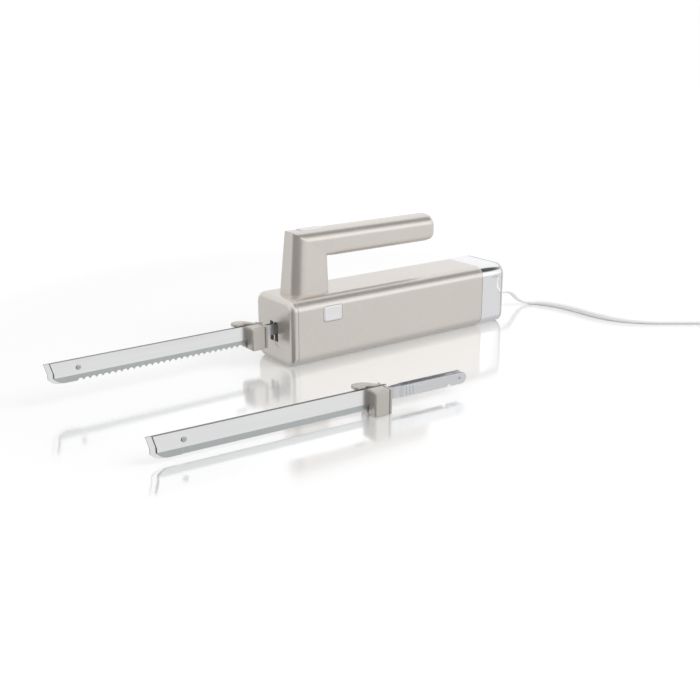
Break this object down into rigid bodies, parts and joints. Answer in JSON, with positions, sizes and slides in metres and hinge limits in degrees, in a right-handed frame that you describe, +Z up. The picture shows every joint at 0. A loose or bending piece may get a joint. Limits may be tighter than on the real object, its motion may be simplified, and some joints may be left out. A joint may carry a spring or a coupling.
{
  "type": "electric carving knife",
  "caption": "Corded electric carving knife with a box housing, a stalk handle and twin reciprocating serrated blades, and a spare blade pair with finer teeth.",
  "frame": {"origin": "centre of the housing's flat underside, which rests on the table", "axes": "+Z up; -X along the blades towards their tips; +X towards the mains lead; -Y the side that carries the near release button"},
  "size_m": [0.752, 0.2755, 0.1169],
  "materials": {
    "body_finish": "satin metallic paint, warm silver",
    "bright_band": "bright plated",
    "grey_plastic": "fine satin grey",
    "button_plastic": "smooth light grey",
    "zinc_steel": "zinc plated",
    "spring_steel": "drawn wire and strip",
    "black_plastic": "moulded black",
    "frame_metal": "stamped and die cast, plain",
    "drive_nylon": "filled nylon, dark",
    "gear_nylon": "natural nylon",
    "ground_steel": "ground",
    "lamination_iron": "stacked laminations",
    "copper_wire": "enamelled winding wire",
    "copper_bars": "turned copper bars",
    "sintered_bronze": "sintered and drawn",
    "brush_carbon": "pressed carbon",
    "yellow_film": "moulded case",
    "blue_wire": "insulated wire",
    "white_lead": "smooth white",
    "tie_strap": "woven strap",
    "pin_metal": "plated pins",
    "blade_steel": "polished, ground bevel",
    "rivet_steel": "headed rivet",
    "guard_plastic": "satin metallic paint, warm silver"
  },
  "bodies": {
    "housing": {"housing_sleeve": "body_finish", "front_cap": "body_finish", "rear_band": "bright_band", "rear_cover": "grey_plastic", "handle_shell": "body_finish", "handle_cover": "grey_plastic", "handle_screws": "zinc_steel", "switch_spring": "spring_steel", "micro_switch": "black_plastic", "release_spring_near": "spring_steel", "release_spring_far": "spring_steel", "gear_frame_near": "frame_metal", "gear_frame_far": "frame_metal", "frame_screws": "zinc_steel", "tang_guide": "black_plastic", "worm_bearing_block": "frame_metal", "stator_core": "lamination_iron", "field_coils": "copper_wire", "motor_front_bracket": "frame_metal", "motor_rear_bracket": "frame_metal", "motor_bolts": "zinc_steel", "shaft_bearings": "sintered_bronze", "brush_holders": "sintered_bronze", "carbon_brushes": "brush_carbon", "terminal_block": "gear_nylon", "capacitor": "yellow_film", "inner_leads": "blue_wire", "cord_clamp": "black_plastic", "strain_relief": "white_lead", "cord_run": "white_lead", "cord_coil": "white_lead", "cord_tie": "tie_strap", "plug_body": "white_lead", "plug_pins": "pin_metal"},
    "armature": {"motor_shaft": "ground_steel", "worm": "ground_steel", "armature_core": "lamination_iron", "armature_windings": "copper_wire", "commutator": "copper_bars", "cooling_fan": "black_plastic"},
    "wheel": {"worm_wheel": "gear_nylon", "wheel_axle": "ground_steel"},
    "near_carrier": {"carrier_near": "drive_nylon", "latch_spring_near": "spring_steel"},
    "far_carrier": {"carrier_far": "drive_nylon", "latch_spring_far": "spring_steel"},
    "near_blade": {"blade_near": "blade_steel", "guard_near": "guard_plastic", "blade_rivet": "rivet_steel"},
    "far_blade": {"blade_far": "blade_steel", "guard_far": "guard_plastic"},
    "release_near": {"release_button_near": "button_plastic"},
    "release_far": {"release_button_far": "button_plastic"},
    "switch": {"switch_button": "button_plastic"},
    "near_spare": {"spare_blade_near": "blade_steel", "spare_guard_near": "guard_plastic", "spare_rivet": "rivet_steel"},
    "far_spare": {"spare_blade_far": "blade_steel", "spare_guard_far": "guard_plastic"}
  },
  "joints": [
    {"name": "armature_turn", "type": "hinge", "parent": "housing", "child": "armature", "pos_m": [0, 0, 0.033], "axis": [1, 0, 0], "continuous": true},
    {"name": "wheel_turn", "type": "hinge", "parent": "housing", "child": "wheel", "pos_m": [-0.03805, 0, 0.0175], "axis": [0, 1, 0], "continuous": true},
    {"name": "carrier_near_slide", "type": "slide", "parent": "housing", "child": "near_carrier", "axis": [1, 0, 0], "range_m": [-0.0035, 0.0035]},
    {"name": "carrier_far_slide", "type": "slide", "parent": "housing", "child": "far_carrier", "axis": [1, 0, 0], "range_m": [-0.0035, 0.0035]},
    {"name": "blade_near_pull", "type": "slide", "parent": "near_carrier", "child": "near_blade", "axis": [-1, 0, 0], "range_m": [0, 0.085], "deforming": ["latch_spring_near"]},
    {"name": "blade_far_pull", "type": "slide", "parent": "far_carrier", "child": "far_blade", "axis": [-1, 0, 0], "range_m": [0, 0.085], "deforming": ["latch_spring_far"]},
    {"name": "release_near_press", "type": "slide", "parent": "housing", "child": "release_near", "axis": [0, 1, 0], "range_m": [0, 0.002], "stiffness_N_per_m": 300, "springref_m": -0.003, "deforming": ["release_spring_near"]},
    {"name": "release_far_press", "type": "slide", "parent": "housing", "child": "release_far", "axis": [0, -1, 0], "range_m": [0, 0.002], "stiffness_N_per_m": 300, "springref_m": -0.003, "deforming": ["release_spring_far"]},
    {"name": "switch_press", "type": "slide", "parent": "housing", "child": "switch", "axis": [0, 0, -1], "range_m": [0, 0.002], "stiffness_N_per_m": 400, "springref_m": -0.003, "deforming": ["switch_spring"]},
    {"name": "spare_lift", "type": "slide", "parent": "housing", "child": "near_spare", "axis": [0, 0, 1], "range_m": [0, 0.12]},
    {"name": "spare_slide", "type": "slide", "parent": "near_spare", "child": "far_spare", "axis": [0.998, -0.0628, 0], "range_m": [-0.007, 0.007]}
  ],
  "couplings": [
    {"joint": "wheel_turn", "follows": "armature_turn", "ratio": -0.05},
    {"joint": "carrier_far_slide", "follows": "carrier_near_slide", "ratio": -1},
    {"joint": "blade_far_pull", "follows": "blade_near_pull", "ratio": 1}
  ]
}
